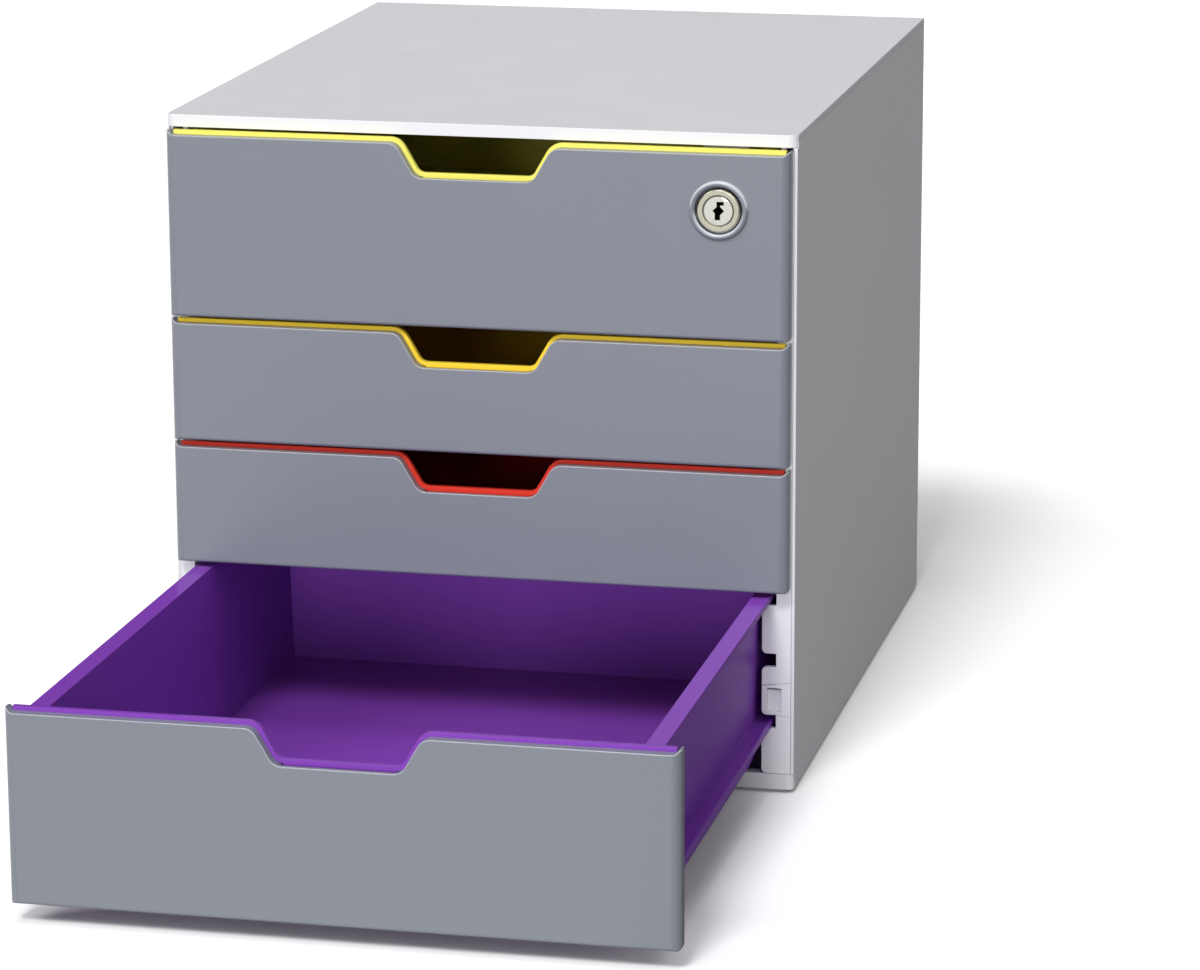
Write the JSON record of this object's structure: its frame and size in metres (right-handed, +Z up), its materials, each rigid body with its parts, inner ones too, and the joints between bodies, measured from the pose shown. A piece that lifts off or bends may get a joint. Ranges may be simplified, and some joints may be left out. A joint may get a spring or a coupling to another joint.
{
  "type": "desktop drawer tower",
  "caption": "Light grey desk-top drawer housing with coloured plastic tubs behind blue-grey fronts with finger cut-outs; the top drawer has a cam lock, the bottom one stands open.",
  "frame": {"origin": "centre of the housing's footprint, on the surface it stands on", "axes": "+Z up, +Y to the back, +X to the right seen from the front; the drawers pull out towards -Y"},
  "size_m": [0.28, 0.582, 0.292],
  "materials": {
    "housing_plastic": "light grey moulded polystyrene, satin",
    "frame_plastic": "pale grey moulded polystyrene, satin",
    "front_plastic": "blue-grey moulded polystyrene, fine matte texture",
    "tub_lemon": "lemon yellow polystyrene, smooth gloss",
    "tub_gold": "golden yellow polystyrene, smooth gloss",
    "tub_red": "red polystyrene, smooth gloss",
    "tub_purple": "purple polystyrene, smooth gloss",
    "lock_nickel": "nickel-plated die casting, satin polish",
    "lock_steel": "zinc-plated steel",
    "wafer_brass": "bare stamped brass",
    "pad_rubber": "black rubber, matte"
  },
  "bodies": {
    "housing": {"top_cover": "housing_plastic", "base_tray": "housing_plastic", "left_side_panel": "housing_plastic", "right_side_panel": "housing_plastic", "back_panel": "housing_plastic", "left_guide_frame": "frame_plastic", "right_guide_frame": "frame_plastic", "left_frame_clip": "frame_plastic", "right_frame_clip": "frame_plastic", "front_left_pad": "pad_rubber", "front_right_pad": "pad_rubber", "back_left_pad": "pad_rubber", "back_right_pad": "pad_rubber", "lock_catch": "lock_steel"},
    "drawer_1": {"drawer_1_tub": "tub_lemon", "drawer_1_front": "front_plastic", "lock_body": "lock_nickel", "lock_nut": "lock_steel"},
    "drawer_2": {"drawer_2_tub": "tub_gold", "drawer_2_front": "front_plastic"},
    "drawer_3": {"drawer_3_tub": "tub_red", "drawer_3_front": "front_plastic"},
    "drawer_4": {"drawer_4_tub": "tub_purple", "drawer_4_front": "front_plastic"},
    "lock_rotor": {"lock_plug": "lock_nickel", "lock_wafers": "wafer_brass", "lock_cam": "lock_steel", "lock_cam_screw": "lock_steel"}
  },
  "joints": [
    {"name": "drawer_1_slide", "type": "slide", "parent": "housing", "child": "drawer_1", "axis": [0, -1, 0], "range_m": [0, 0.26]},
    {"name": "drawer_2_slide", "type": "slide", "parent": "housing", "child": "drawer_2", "axis": [0, -1, 0], "range_m": [0, 0.26]},
    {"name": "drawer_3_slide", "type": "slide", "parent": "housing", "child": "drawer_3", "axis": [0, -1, 0], "range_m": [0, 0.26]},
    {"name": "drawer_4_slide", "type": "slide", "parent": "housing", "child": "drawer_4", "axis": [0, -1, 0], "range_m": [-0.226, 0.034]},
    {"name": "lock_turn", "type": "hinge", "parent": "drawer_1", "child": "lock_rotor", "pos_m": [0.1075, -0.162, 0.26], "axis": [0, 1, 0], "range_deg": [0, 90]}
  ]
}
